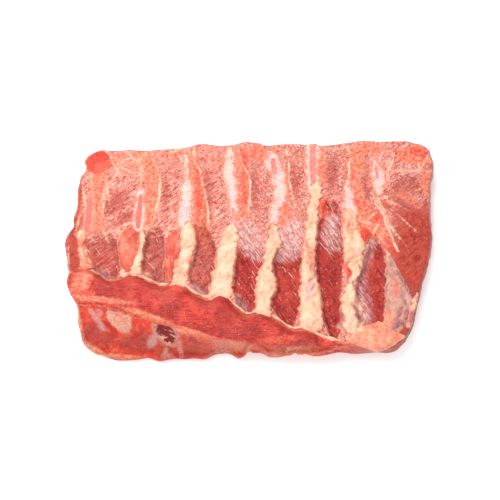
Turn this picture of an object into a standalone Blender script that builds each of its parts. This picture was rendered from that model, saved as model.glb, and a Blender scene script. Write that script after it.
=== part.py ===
"""A raw rack of pork ribs, sawn square and laid bone side up: one slab of meat with eight ribs in it.

The slab is a dented quilt: a long muscle runs along the front edge, over the cut backbone, and
behind it the ribs show as ridges with hollows between them. Across the rear the saw has gone
slantwise through meat and ribs, so each rib lies open there, flush with the cut. Every rib is its
own solid, which runs through the slab in a channel of its own.

Axes: +X across the ribs, +Y from the backbone edge to the sawn rib ends, +Z up from the flat
underside. Shapes are worked out in millimetres and placed in metres.
"""

import bmesh
import bpy
import numpy as np

MM = 0.001
CENTRE = (0.25, 0.6)        # middle of the outline below, which becomes the origin

# The widest outline of the slab, as four edges that meet at its corners.
REAR_EDGE = [(-131.5, 79), (-122, 82.5), (-114, 82), (-100, 82), (-85, 81), (-60, 82.8),
             (-50, 84), (-40, 86.5), (-25, 85.5), (-12, 86), (-5, 88), (4, 87.5), (12, 85.8),
             (30, 86.8), (70, 87), (80, 89), (92, 91), (108, 90.5), (122, 91), (135, 90),
             (143, 87.5), (147.5, 83.5)]
FRONT_EDGE = [(-131, -80), (-126, -82.8), (-118, -85.3), (-110, -88), (-92, -88.3), (-82, -87.5),
              (-74, -89.3), (-60, -88), (-45, -87.5), (-35, -87.8), (-28, -84.5), (-15, -85.3),
              (-9, -87.8), (0, -84), (10, -85.5), (23, -87.8), (33, -85), (42, -84.5), (55, -87.1),
              (68, -84), (85, -84.6), (102, -84), (110, -84.5), (118, -81.5), (124.5, -76)]
LEFT_EDGE = [(-80, -131), (-74, -134.5), (-66, -136.5), (-52, -137.5), (-44, -140.5), (-38, -142.5),
             (-28, -144.5), (-14, -147.5), (-2, -148.8), (6, -149), (11, -147), (16, -143.5),
             (24, -143), (32, -141), (42, -140.5), (52, -139.5), (60, -137.5), (65, -134),
             (70, -134), (79, -131.5)]
RIGHT_EDGE = [(-76, 124.5), (-67, 129), (-60, 131), (-50, 134), (-42, 136), (-36, 136.5),
              (-26, 140), (-17, 143), (-6, 145.5), (10, 147.5), (20, 146.5), (40, 147), (55, 148),
              (65, 149.7), (73, 150.2), (83.5, 147.5)]

# Heights of the upper face, in millimetres above the underside.
FACE_HEIGHT = [(-95, 25), (-70, 26), (-40, 27.5), (-15, 28), (10, 30), (30, 29.5), (60, 27), (92, 24)]
END_DROP = [(-152, -8), (-138, -3), (-120, 0), (100, 0), (135, -2), (152, -6)]
RIDGE_HEIGHT = 4.5
RIDGE_HALF_WIDTH = 7.5
RIDGE_FRONT, RIDGE_REAR, RIDGE_FADE = -62.0, 6.0, 10.0

# The long muscle over the backbone: its two edges, its crest and the foot of the slope before it.
MUSCLE_REAR_EDGE = [(-152, -17), (-125, -21), (-110, -29), (-95, -24.5), (-82, -30), (-70, -34),
                    (-56, -32), (-46, -40), (-34, -45), (-20, -42.5), (-12, -51), (-4, -57),
                    (8, -55.5), (22, -62), (32, -68.5), (44, -69), (56, -75), (70, -79), (130, -86)]
MUSCLE_FRONT_EDGE = [(-152, -51), (-120, -51.5), (-100, -57), (-82, -62.5), (-60, -71), (-40, -77),
                     (-20, -80), (130, -80)]
MUSCLE_CREST = [(-152, 37), (-125, 42), (-60, 43), (-20, 41), (20, 37), (55, 32), (80, 27), (130, 24)]
FOOT_HEIGHT = [(-152, 9), (-60, 10), (-20, 13), (5, 17), (40, 20), (80, 20), (130, 18)]
MUSCLE_RISE = 9.0
MUSCLE_SAG = 5.0            # how far the crest drops to the muscle's front edge

# The side wall, from the rim of the upper face down to the flat underside: how far each row lies
# inside the outline, and how high it is as a share of the rim's height.
WALL_ROWS = [(0.9, 0.86), (0.0, 0.5), (2.2, 0.16), (7.0, 0.0)]
RIM_INSET = 3.0
GRID_X, GRID_Y = 62, 30

# Each rib: its middle line from the rear, and where along Y the saw has laid it open.
RIBS = [
    {"line": [(62, -127), (35, -128), (10, -131), (-12, -134), (-35, -131), (-54, -123), (-72, -117)],
     "open": (11, 38), "half_width": 3.8, "at_slope": True},
    {"line": [(96, -86), (45, -87), (12, -89), (-10, -92), (-28, -98), (-48, -102), (-72, -106)],
     "open": (13, 45), "half_width": 4.8, "at_slope": True},
    {"line": [(96, -55), (60, -51), (12, -52), (-10, -53), (-30, -58), (-55, -66), (-80, -75)],
     "open": (13, 74), "half_width": 4.8, "at_slope": True},
    {"line": [(96, -18), (55, -15), (22, -14), (5, -15), (-20, -19), (-40, -23), (-70, -32)],
     "open": (21, 100), "half_width": 5.0, "at_slope": False},
    {"line": [(80, 18), (60, 20), (45, 22), (20, 19), (0, 17), (-25, 14), (-50, 10), (-74, 5)],
     "open": (26, 90), "half_width": 5.0, "at_slope": False},
    {"line": [(96, 52), (60, 51), (40, 52), (10, 50), (-20, 47), (-45, 45), (-74, 43)],
     "open": (30, 100), "half_width": 5.0, "at_slope": False},
    {"line": [(96, 78), (60, 79), (20, 80), (-25, 80), (-45, 79), (-72, 78)],
     "open": (30, 60), "half_width": 4.6, "at_slope": False},
    {"line": [(96, 101), (50, 103), (20, 105), (-10, 110), (-35, 114), (-60, 112), (-72, 111)],
     "open": (-60, -14), "half_width": 6.0, "at_slope": False},
]
RIB_HALF_HEIGHT = 3.8
RIB_SIDES = 8
RIB_STEP = 13.0             # between the rings of a rib, along Y
AXIS_SHOWN, AXIS_SUNK = 2.0, 7.0    # how deep a rib's middle lies below the face, open and buried
OPENING_FADE = 7.0
CHANNEL_GAP = 0.3           # between a rib and the wall of its channel

MEAT_RED = (0.68, 0.15, 0.11, 1)
BONE_PALE = (0.86, 0.68, 0.64, 1)


def through(points, place):
    """The smooth line through (place, value) points: cubic pieces that share slopes at the points."""
    places, values = np.array(points, float).T
    slopes = np.gradient(values, places)
    place = np.clip(place, places[0], places[-1])
    i = np.clip(np.searchsorted(places, place, side="right") - 1, 0, len(places) - 2)
    gap = places[i + 1] - places[i]
    t = (place - places[i]) / gap
    rise = values[i + 1] * t * t * (3 - 2 * t) + values[i] * (1 + 2 * t) * (1 - t) ** 2
    return rise + gap * t * (1 - t) * (slopes[i] * (1 - t) - slopes[i + 1] * t)


def smooth(low, high, value):
    """0 below low, 1 above high, and an S-shaped step between."""
    t = np.clip((value - low) / (high - low), 0, 1)
    return t * t * (3 - 2 * t)


def window(value, low, high, fade):
    """1 between low and high, falling to 0 over the fade outside each."""
    return smooth(low - fade, low, value) * (1 - smooth(high, high + fade, value))


def outline(u, v):
    """The point of the four-sided outline's quilt at u across and v deep, each from 0 to 1."""
    front = [np.interp(u, (0, 1), (FRONT_EDGE[0][0], FRONT_EDGE[-1][0])), 0]
    rear = [np.interp(u, (0, 1), (REAR_EDGE[0][0], REAR_EDGE[-1][0])), 0]
    front[1] = through(FRONT_EDGE, front[0])
    rear[1] = through(REAR_EDGE, rear[0])
    left = [0, np.interp(v, (0, 1), (LEFT_EDGE[0][0], LEFT_EDGE[-1][0]))]
    right = [0, np.interp(v, (0, 1), (RIGHT_EDGE[0][0], RIGHT_EDGE[-1][0]))]
    left[0] = through(LEFT_EDGE, left[1])
    right[0] = through(RIGHT_EDGE, right[1])
    corners = (1 - v) * ((1 - u) * np.array(FRONT_EDGE[0]) + u * np.array(FRONT_EDGE[-1]))
    corners = corners + v * ((1 - u) * np.array(REAR_EDGE[0]) + u * np.array(REAR_EDGE[-1]))
    ruled = (1 - v) * np.array(front) + v * np.array(rear)
    return ruled + (1 - u) * np.array(left) + u * np.array(right) - corners


def face(x, y):
    """Height of the slab's upper face before ridges and muscle: thick in the middle, thin at the ends."""
    return through(FACE_HEIGHT, y) + through(END_DROP, x)


def ridges(x, y):
    """The fat over each rib, a flat-topped ridge along the rib's middle line."""
    height = 0.0
    for rib in RIBS:
        across = (x - through(rib["line"][::-1], y)) / RIDGE_HALF_WIDTH
        height += np.exp(-across ** 4)
    return RIDGE_HEIGHT * height * window(y, RIDGE_FRONT, RIDGE_REAR, RIDGE_FADE)


def upper_height(x, y):
    """Height of the finished upper face: behind, face and ridges; in front, the muscle and its slope."""
    rear_edge = through(MUSCLE_REAR_EDGE, x)
    front_edge = through(MUSCLE_FRONT_EDGE, x)
    foot_y = through(FRONT_EDGE, x) + RIM_INSET
    crest_y = rear_edge - MUSCLE_RISE
    behind = face(x, y) + ridges(x, y)
    sag = MUSCLE_SAG * np.clip((crest_y - y) / (crest_y - front_edge), 0, 1) ** 2
    muscle = through(MUSCLE_CREST, x) - sag
    down = np.clip((front_edge - y) / max(front_edge - foot_y, 1.0), 0, 1)
    slope = muscle + (through(FOOT_HEIGHT, x) - muscle) * down ** 1.3
    return behind + (slope - behind) * smooth(0, MUSCLE_RISE, rear_edge - y)


def new_object(name, bm, material):
    """A mesh object of that name, in metres about the origin, made from millimetre geometry."""
    for vert in bm.verts:
        vert.co = ((vert.co.x - CENTRE[0]) * MM, (vert.co.y - CENTRE[1]) * MM, vert.co.z * MM)
    bmesh.ops.recalc_face_normals(bm, faces=bm.faces)
    mesh = bpy.data.meshes.new(name)
    bm.to_mesh(mesh)
    bm.free()
    mesh.shade_smooth()
    mesh.materials.append(material)
    made = bpy.data.objects.new(name, mesh)
    bpy.context.scene.collection.objects.link(made)
    return made


def as_helper(helper):
    """Marks an object as a cutter or guide, which isn't part of the rack."""
    helper.hide_render = True
    helper.display_type = "WIRE"
    return helper


def plain_material(name, colour, roughness):
    material = bpy.data.materials.new(name)
    material.use_nodes = True
    shader = material.node_tree.nodes["Principled BSDF"]
    shader.inputs["Base Color"].default_value = colour
    shader.inputs["Roughness"].default_value = roughness
    shader.inputs["Metallic"].default_value = 0.0
    return material


def slab(name, material):
    """The whole slab without its channels: a quilted top, a bulging wall and a flat underside."""
    bm = bmesh.new()
    made = bmesh.ops.create_grid(bm, x_segments=GRID_X, y_segments=GRID_Y, size=0.5)
    rim = {}
    for vert in made["verts"]:
        u, v = vert.co.x + 0.5, vert.co.y + 0.5
        place = outline(u, v)
        if vert.is_boundary:
            widest, outward = place, wall_direction(u, v)
            place = widest - RIM_INSET * outward
            rim[vert] = (widest, outward, upper_height(*place))
        vert.co = (*place, upper_height(*place))
    edges = [edge for edge in bm.edges if edge.is_boundary]
    for inset, share in WALL_ROWS:
        rim = extrude_wall(bm, edges, rim, inset, share)
        edges = [edge for edge in bm.edges if edge.is_boundary]
    bmesh.ops.edgeloop_fill(bm, edges=edges)
    return new_object(name, bm, material)


def extrude_wall(bm, edges, rim, inset, share):
    """Adds one row to the wall. rim holds, for each point above, its widest place, direction and height."""
    grown = bmesh.ops.extrude_edge_only(bm, edges=edges)["geom"]
    below = {}
    for vert in grown:
        if not isinstance(vert, bmesh.types.BMVert):
            continue
        above = next(e.other_vert(vert) for e in vert.link_edges if e.other_vert(vert) in rim)
        widest, outward, height = rim[above]
        vert.co = (*(widest - inset * outward), share * height)
        below[vert] = rim[above]
    return below


def wall_direction(u, v):
    """The outward direction of the outline at an edge point of the quilt, across the edge there."""
    step = 0.02
    low_u, high_u = max(u - step, 0.0), min(u + step, 1.0)
    low_v, high_v = max(v - step, 0.0), min(v + step, 1.0)
    across = outline(high_u, v) - outline(low_u, v)
    deep = outline(u, high_v) - outline(u, low_v)
    edge = 1e-6
    outward = np.zeros(2)
    if v < edge or v > 1 - edge:
        side = 1.0 if v > 0.5 else -1.0
        outward += side * np.array([-across[1], across[0]]) / np.linalg.norm(across)
    if u < edge or u > 1 - edge:
        side = 1.0 if u > 0.5 else -1.0
        outward += side * np.array([deep[1], -deep[0]]) / np.linalg.norm(deep)
    return outward / np.linalg.norm(outward)


def rib_rings(rib):
    """The rib's stations from rear to front: middle point, and how full its section is there."""
    line = rib["line"][::-1]
    front, rear = line[0][0], line[-1][0]
    stations = []
    for y in np.linspace(rear, front, 1 + round((rear - front) / RIB_STEP)):
        x = float(through(line, y))
        opened = window(y, *rib["open"], OPENING_FADE)
        depth = AXIS_SUNK + (AXIS_SHOWN - AXIS_SUNK) * opened
        stations.append([x, y, float(face(x, y)) - depth])
    return stations


def rib_tube(name, rib, extra, material):
    """A rib as a bridged row of oval rings, grown all round by the extra millimetres."""
    bm = bmesh.new()
    stations = rib_rings(rib)
    ends = (0, len(stations) - 1)
    rings = []
    for index, (x, y, z) in enumerate(stations):
        ring = bmesh.ops.create_circle(bm, segments=RIB_SIDES, radius=1.0)["verts"]
        full = 0.7 if index in ends else 1.0
        shift = extra * (-1.0 if index == ends[1] else 1.0) if index in ends else 0.0
        for vert in ring:
            wide = vert.co.x * (rib["half_width"] * full + extra)
            high = vert.co.y * (RIB_HALF_HEIGHT * full + extra)
            vert.co = (x + wide, y + shift, z + high)
        rings.append(ring)
    edges = [edge for edge in bm.edges if edge.is_wire]
    bmesh.ops.bridge_loops(bm, edges=edges)
    bmesh.ops.holes_fill(bm, edges=[edge for edge in bm.edges if edge.is_boundary], sides=0)
    return new_object(name, bm, material)


def combine(made, other, operation):
    """Adds an exact Boolean of that kind, which stays on the object."""
    boolean = made.modifiers.new(f"{operation.lower()}_{other.name}", "BOOLEAN")
    boolean.operation = operation
    boolean.solver = "EXACT"
    boolean.object = other


def main():
    for old in list(bpy.data.objects):
        bpy.data.objects.remove(old)
    meat_finish = plain_material("meat", MEAT_RED, 0.35)
    bone_finish = plain_material("bone", BONE_PALE, 0.45)
    meat = slab("meat", meat_finish)
    whole_slab = as_helper(slab("whole_slab", meat_finish))
    for number, rib in enumerate(RIBS, start=1):
        channel = as_helper(rib_tube(f"channel_{number}", rib, CHANNEL_GAP, bone_finish))
        combine(meat, channel, "DIFFERENCE")
        bone = rib_tube(f"rib_{number}", rib, 0.0, bone_finish)
        combine(bone, whole_slab, "INTERSECT")


main()
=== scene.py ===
"""Looks of the raw rack of ribs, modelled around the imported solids.

Lengths are millimetres on the slab's own measuring grid (x across the ribs, y to the sawn rear, z up
from the underside); put() moves them to the frame, in metres. Where something lies is written as a
patch: rows of (y, left x, right x) from rear to front, joined by smooth lines.
"""

import math
from types import SimpleNamespace

import bpy
import numpy as np
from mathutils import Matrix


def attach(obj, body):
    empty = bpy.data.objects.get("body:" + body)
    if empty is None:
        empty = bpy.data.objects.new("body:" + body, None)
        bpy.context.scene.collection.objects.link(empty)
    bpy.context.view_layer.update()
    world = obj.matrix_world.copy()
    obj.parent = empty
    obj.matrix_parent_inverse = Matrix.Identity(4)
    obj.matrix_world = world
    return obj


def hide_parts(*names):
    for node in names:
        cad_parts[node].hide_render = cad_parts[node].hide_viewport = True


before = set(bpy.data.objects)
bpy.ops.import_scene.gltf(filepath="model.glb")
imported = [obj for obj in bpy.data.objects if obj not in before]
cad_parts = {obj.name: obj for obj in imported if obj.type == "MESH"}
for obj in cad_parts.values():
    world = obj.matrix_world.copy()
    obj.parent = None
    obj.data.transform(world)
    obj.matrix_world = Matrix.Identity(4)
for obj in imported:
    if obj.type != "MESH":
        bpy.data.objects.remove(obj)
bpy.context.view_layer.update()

MM = 0.001
HALF_LONG, HALF_DEEP = 149.5, 90.0      # half the slab's plan, about its middle
MIDDLE = (0.25, 0.6)                    # where the frame's origin lies on the measuring grid

# ---------------------------------------------------------------- the slab's outline and heights

REAR_EDGE = [(-131.5, 79), (-122, 82.5), (-114, 82), (-100, 82), (-85, 81), (-60, 82.8),
             (-50, 84), (-40, 86.5), (-25, 85.5), (-12, 86), (-5, 88), (4, 87.5), (12, 85.8),
             (30, 86.8), (70, 87), (80, 89), (92, 91), (108, 90.5), (122, 91), (135, 90),
             (143, 87.5), (147.5, 83.5)]
FRONT_EDGE = [(-131, -80), (-126, -82.8), (-118, -85.3), (-110, -88), (-92, -88.3), (-82, -87.5),
              (-74, -89.3), (-60, -88), (-45, -87.5), (-35, -87.8), (-28, -84.5), (-15, -85.3),
              (-9, -87.8), (0, -84), (10, -85.5), (23, -87.8), (33, -85), (42, -84.5), (55, -87.1),
              (68, -84), (85, -84.6), (102, -84), (110, -84.5), (118, -81.5), (124.5, -76)]
LEFT_EDGE = [(-80, -131), (-74, -134.5), (-66, -136.5), (-52, -137.5), (-44, -140.5), (-38, -142.5),
             (-28, -144.5), (-14, -147.5), (-2, -148.8), (6, -149), (11, -147), (16, -143.5),
             (24, -143), (32, -141), (42, -140.5), (52, -139.5), (60, -137.5), (65, -134),
             (70, -134), (79, -131.5)]
RIGHT_EDGE = [(-76, 124.5), (-67, 129), (-60, 131), (-50, 134), (-42, 136), (-36, 136.5),
              (-26, 140), (-17, 143), (-6, 145.5), (10, 147.5), (20, 146.5), (40, 147), (55, 148),
              (65, 149.7), (73, 150.2), (83.5, 147.5)]
FACE_HEIGHT = [(-95, 25), (-70, 26), (-40, 27.5), (-15, 28), (10, 30), (30, 29.5), (60, 27), (92, 24)]
END_DROP = [(-152, -8), (-138, -3), (-120, 0), (100, 0), (135, -2), (152, -6)]
MUSCLE_REAR_EDGE = [(-152, -17), (-125, -21), (-110, -29), (-95, -24.5), (-82, -30), (-70, -34),
                    (-56, -32), (-46, -40), (-34, -45), (-20, -42.5), (-12, -51), (-4, -57),
                    (8, -55.5), (22, -62), (32, -68.5), (44, -69), (56, -75), (70, -79), (130, -86)]
MUSCLE_FRONT_EDGE = [(-152, -51), (-120, -51.5), (-100, -57), (-82, -62.5), (-60, -71), (-40, -77),
                     (-20, -80), (130, -80)]
MUSCLE_CREST = [(-152, 37), (-125, 42), (-60, 43), (-20, 41), (20, 37), (55, 32), (80, 27), (130, 24)]
FOOT_HEIGHT = [(-152, 9), (-60, 10), (-20, 13), (5, 17), (40, 20), (80, 20), (130, 18)]
MUSCLE_RISE = 9.0                       # how far behind its crest the front muscle starts to rise
MUSCLE_SAG = 5.0                        # how much lower its front edge lies than its crest
HOLLOW_DEPTH, HOLLOW_BELLY = 3.4, 1.5   # a hollow between ribs, and how its middle rises again
PANEL_RISE, PIT_DEPTH = 1.2, 3.5        # the cut face swells between two ribs; the hole sinks in
BED = 0.15                              # how far the laid-on pieces are set into the slab
CREASE_DEPTH, CREASE_HALF = 0.9, 1.3    # a fold across a strip of fat, and half its width
# The wall from the rim to the flat underside: (how far down, how far inside the outline, and its
# share of the rim's height)
WALL = [(0, 3, 1), (0.12, 1.7, 0.95), (0.25, 0.7, 0.84), (0.5, 0, 0.5), (0.8, 2.0, 0.16), (1, 7, 0)]

# ---------------------------------------------------------------- what lies where on the bone side

HOLLOWS = {     # dark red muscle between the ribs
    "first": [(7, -126, -110), (0, -134, -106), (-10, -132, -104.5), (-18, -127, -104), (-28, -113, -105)],
    "second": [(13, -79, -72), (0, -84, -68), (-12, -86, -67), (-22, -86, -67), (-34, -74, -66)],
    "third": [(14, -44, -36), (-5, -43, -27), (-15, -46, -26), (-25, -48.5, -27), (-33, -47, -30),
              (-43, -38, -33)],
    "fourth": [(-2, -9, 10), (-12, -11, 11), (-25, -13, 9), (-38, -14, 7), (-48, -10, 5), (-58, -4, 1)],
    "fifth": [(-4, 22, 41), (-20, 19, 41), (-35, 22, 40), (-48, 16.5, 40), (-58, 22, 38), (-67, 30, 34)],
    "sixth": [(36, 62, 70), (26, 58, 73), (-30, 54, 73), (-50, 57, 72), (-66, 60, 73), (-76, 65, 69)],
    "seventh": [(4, 98, 103), (-5, 94, 107), (-15, 92, 109), (-30, 86, 109), (-45, 84, 108),
                (-68, 86, 106)],
}
RIB_LINES = [   # each rib's middle line: (y, x) from rear to front
    [(62, -127), (10, -131), (-35, -131), (-72, -117)],
    [(96, -86), (45, -87), (12, -89), (-28, -98), (-72, -106)],
    [(96, -55), (60, -51), (12, -52), (-30, -58), (-80, -75)],
    [(96, -18), (22, -14), (-20, -19), (-70, -32)],
    [(80, 18), (45, 22), (0, 17), (-74, 5)], [(96, 52), (40, 52), (-20, 47), (-74, 43)],
    [(96, 78), (20, 80), (-72, 78)], [(96, 101), (20, 105), (-35, 114), (-72, 111)],
]
PIT = (-67, -72.5, 9.5, 5.0, -35)       # the hole in the front slope, as a spot
SINEW_VEILS = {  # thin lilac-white membrane, with strands
    "fourth": [(17, -10, 2), (8, -12, 10), (0, -11, 12), (-7, -7, 12), (-14, 2, 11)],
    "fifth": [(20, 30, 42), (12, 22, 44), (2, 20, 43), (-8, 18, 42), (-15, 20, 34)],
    "sixth": [(26, 62, 73), (14, 58, 73), (3, 58, 73), (-6, 62, 72)],
    "seventh": [(6, 91, 101), (-8, 90, 99), (-20, 87, 94), (-30, 84, 94), (-45, 82, 96), (-58, 82, 98),
                (-66, 84, 100)],
}
# Tissue seen in the meat. A shape is a patch's rows, or one spot: (x, y, half length, half width, lean)
STAINS = {
    "orange": [
        (110, -60, 3, 6, 0), (48, -10, 3, 7, 0), (46, -2, 2, 5, 0), (80, 14, 3, 5, 0),
        (-58, -16, 2, 6, -10),
        [(68, -128, -116), (50, -128, -116), (40, -127, -118.5), (26, -126, -118), (8, -126, -114)],
        [(78, -94, -80), (66, -89, -73.5), (55, -86, -72.5), (45, -84.5, -73.5), (25, -83.5, -75.5),
         (11, -82, -76)],
        [(76, -50, -44), (60, -48.5, -39), (45, -46, -36), (30, -45.5, -34.5), (18, -45.5, -33),
         (6, -44, -30)],
        [(82, -12, -7), (62, -9.5, -3), (50, -8, -1.2), (40, -7.5, -0.5), (20, -9, -2)],
        [(60, 26, 31), (40, 26, 31), (25, 24, 32), (14, 25, 34)],
        [(82, 55, 60), (66, 56, 61), (50, 56, 60)], [(38, 56, 62.5), (28, 57, 64), (19, 57, 61)],
        [(84, 82, 88), (60, 82, 88), (40, 84, 93), (28, 85, 100), (12, 87, 110), (4, 96, 114)],
        (-8, 78, 5, 3, 0), (6, 76, 8, 6, -20), (60, 84, 3, 2, 0), (-106, 74, 7, 3, 0), (-97, 64, 6, 3, 40),
        (95, 82, 14, 4, 0), (132, 76, 16, 7, -8), (142, 56, 5, 14, 0), (139, 84, 8, 4, -30),
        (126, 40, 9, 3, -30),
        (101, 52, 7, 5, 0), (90, 68, 4, 8, 0), (-139, 30, 4, 12, 0), (-141, -2, 4, 7, 0),
        (-134, 3, 4, 6, 0),
        (-131, -16, 3.5, 9, 15), (-133, -33, 13, 7, 62), (-92, 80, 9, 3, 0), (-60, 76, 4, 5, 0),
    ],
    "bright": [
        (91, 7, 5.5, 4.5, 20), (112, -3, 10, 4.5, -58), (103, 22, 7, 4.5, -50), (134, -35, 7, 3.5, 70),
        (-131, -45, 9, 4.5, -8), (-126, -57, 4.5, 3, -45), (-119, -56, 3.5, 1.6, -40),
        (-57, -38, 5.5, 3.6, -10),
        (52, -85.5, 8, 3.4, -12), (-97, -70, 5, 4, 0), (60, 31, 3.5, 6, 10), (8, 92, 3, 5, 0),
        (-4, 69, 2.2, 10, 4), (-5, 55, 2.2, 9, -6), (-4, 38, 2, 10, 0), (-42, 60, 2.6, 12, 8),
        (-41, 36, 3, 10, 3),
        (137, 80, 7, 4, -20), (86, 30, 3, 9, 10), (20, -80, 14, 3.4, 4), (-30, -84, 12, 2.6, -4),
        (142, 14, 2.6, 12, 0),
    ],
    "cream": [
        (-104, 70, 9, 0.9, 20), (-99, 62, 10, 0.9, -32), (-110, 56, 8, 0.8, 62), (-118, 66, 8, 0.8, 76),
        (-114, 74, 7, 0.8, -8), (-96, 74, 6, 1.0, -52), (-88, 66, 7, 0.8, -70), (-127, 66, 8, 0.8, 80),
        (-115, 45, 1.0, 9, 12), (-118, 30, 1.0, 10, -6), (-134, 42, 1.0, 10, 8), (-138, 20, 0.9, 8, -12),
        (-130, 8, 6, 0.9, -40), (-112, 10, 6, 0.8, 12), (-105, 9.5, 4, 0.9, -18),
        (-98, 16, 7, 1.0, 15), (-104, 6, 1.0, 7, 6), (-66, 8.5, 1.0, 5, -16), (-60, 12, 6, 1.0, 20),
        (-134, 69, 6, 1.0, 60), (132, 63, 15, 0.9, 2), (141, 70, 8, 0.8, 60), (137, 66, 0.8, 5, 0),
        (108, 40, 5, 1.0, 10), (103, 36, 4, 0.9, -40), (124, 20, 9, 0.6, -42), (117, 34, 5, 0.6, -25),
        (94, 18, 5, 1.2, -12), (88, 20, 1.2, 5, 0), (101, 14, 5, 1.0, 62), (106, 4, 6, 0.9, -50),
        (-50, 44, 1.2, 5, 0), (-52, 62, 5, 1.3, 60), (-56, 72, 5, 1.2, -50), (-44, 68, 6, 0.8, -62),
        (143, 86, 4, 1, 30), (146, 30, 0.8, 9, 0), (-146, -10, 0.9, 9, 0), (112, 64, 1.0, 8, -8),
        (106, 74, 6, 0.9, 70), (-20, 86, 8, 0.8, 4), (-100, 82, 16, 0.9, 2), (30, 86, 14, 0.8, 0),
        (74, 82, 8, 0.8, 10), (-107, 62, 0.8, 6, 30), (-92, 70, 5, 0.8, 20), (-84, 78, 0.8, 5, -20),
        (-122, 60, 5, 0.8, 30), (-101, 79, 0.9, 5, 10), (-88, 58, 0.8, 6, 8), (-58, 80, 7, 1.2, 30),
        (-52, 54, 0.9, 8, 8), (-98, -31, 1.0, 5, 0), (-121, -23, 6, 1.6, 30), (-101, 10, 5, 1.2, 60),
        (-82, 12, 5, 1.2, -20), (-76, 13.5, 4, 1.0, 10), (-116, 8, 1.2, 6, 20), (105, 34, 9, 1.0, -58),
        (115, 12, 10, 0.9, -52), (98, 24, 4, 1.0, 40), (92, 6, 5, 1.4, 24), (110, 22, 0.9, 6, 20),
    ],
    "rind": [(-118, -48, 24, 2.0, -7), (-82, -60.5, 20, 2.1, -19), (-46, -74, 20, 2.4, -16),
             (-14, -82, 16, 2.2, -6),
             (-127, -80, 14, 2.4, -30), (-104, -87, 16, 1.8, -4), (-135.5, -62, 1.8, 12, 8),
             (30, -86, 20, 2.2, 4)],
    "dusky": [
        (-126, -70, 9, 6, 40), (-96, -78, 8, 4, 0), (-66, -84, 8, 3, 10),
        (-116, -74, 9, 5, -20), (-84, -78, 12, 5, 6), (-44, -84, 14, 3.4, -4), (-70, -44, 14, 6, -14),
        (44, -78, 12, 4, -6), (-10, -72, 22, 5, -8), (-110, -44, 14, 4, -4), (-108, 34, 13, 8, 38),
        (-100, 22, 10, 5, 38),
        (-94, -38, 8.5, 4.0, -76), (-63, -55, 10, 7, -20), (-96, -31, 14, 2.4, -6), (-36, -52, 12, 4, -24),
        (2, -60, 10, 3.4, 0), (30, -71, 12, 3, -16), (-15, -62, 16, 4, -24), (-116, -36, 10, 4, -6),
        (-124, -77, 9, 2.6, 10), (118, 38, 14, 3.4, -36), (141, 69, 7, 2.4, -16),
        (-137, 46, 3, 9, 0), (-139, 56, 3, 4, 0), (125, 50, 14, 7, 20), (-34, 41, 4.4, 20, 4),
        (4, 46, 4, 18, 2),
        (36, 52, 4, 14, 0), (66, 60, 5, 14, 0), (93, 48, 5, 12, -8), (-68, 40, 3, 14, 0),
        (-141, -20, 2.4, 10, 0),
        (129, 2, 12, 2.2, -32), (122, 14, 10, 2, -30), (138, -12, 3, 10, 10),
    ],
    "beige": [
        [(-54, -112, -106), (-57, -113.5, -99), (-60.5, -113.5, -95), (-64, -111, -93.5),
         (-67.5, -107, -94),
         (-71, -103, -96)],
        (-68, -85, 4, 1.4, 60), (-22, -87, 6, 1.6, 0), (40, -89, 13, 1.8, 3),
        (104, 62, 3.6, 8, 0), (104, 48, 2.2, 5, -12), (-88, -24.5, 8, 3.4, -8), (-119, 80, 4, 1.6, 0),
        (82, -64, 4, 8, 10), (-57, -33.5, 9, 2.4, -12), (-18, -42, 9, 2.6, -6),
    ],
    "grey": [
        [(-54, -128, -125), (-59, -125.5, -120.5), (-64, -122, -117), (-69.5, -118.5, -114.5)],
        (-77, -77, 6, 3.2, 40), (35, -87, 12, 2.4, 2), (104, 59, 2.4, 6, 0),
        (-117, -24.5, 8, 1.6, -30), (-40, -38, 6, 2.0, -40), (-7, -49, 6, 2, -44), (78, -24, 2, 6, 0),
        (47, -38, 4.5, 9, 0), (126, -50, 3.4, 12, 4), (72, -66, 3, 3, 0), (128, -78, 3, 7, -20),
    ],
    "pink": [
        (-103, -60.5, 8, 1.5, -44), (-119, -57, 3, 2.2, -40), (-65, -89, 5, 4, 20),
        (-56, -80, 2.2, 9, 12), (-24, -84, 6, 4, 10),
        (-33, -88, 6, 2.4, 30), (-106, 76, 6, 2, 0),
    ],
    "purple": [
        (-117, -23.5, 8, 1.5, -30), (-38, -37, 6, 1.4, -42), (-6, -47, 7, 1.8, -46), (87, -59, 6, 2.4, -42),
        (86, -38, 9, 1.3, -58), (91, -34, 9, 1.3, -58), (90, -22, 7, 1.1, -58), (93, -44, 8, 1.2, -58),
        (84, -52, 5, 1.4, -50), (92, -16, 5, 1.2, -60),
        (123, -30, 8, 1.5, -54), (127, -38, 7, 1.6, -54), (123, -47, 6, 1.3, -60), (119, -56, 6, 2.0, 62),
        (116, -66, 6, 2.4, 40), (126, -58, 4, 7, 6), (126, -74, 3.4, 6, -12), (121, -64, 5, 1.6, -50),
        (73, -58, 2, 6, 20),
        (104, 56, 1.6, 4, 0), (50, -36, 3, 0.8, 60),
    ],
}


def through(points, place):
    """The smooth line through (place, value) points: cubic pieces that share slopes at the points."""
    places, values = np.array(points, float).T
    slopes = np.gradient(values, places)
    place = np.clip(place, places[0], places[-1])
    i = np.clip(np.searchsorted(places, place, side="right") - 1, 0, len(places) - 2)
    gap = places[i + 1] - places[i]
    t = (place - places[i]) / gap
    rise = values[i + 1] * t * t * (3 - 2 * t) + values[i] * (1 + 2 * t) * (1 - t) ** 2
    return rise + gap * t * (1 - t) * (slopes[i] * (1 - t) - slopes[i + 1] * t)


def smooth(low, high, value):
    """0 below low, 1 above high, and an S-shaped step between."""
    t = np.clip((value - low) / (high - low), 0, 1)
    return t * t * (3 - 2 * t)


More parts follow.
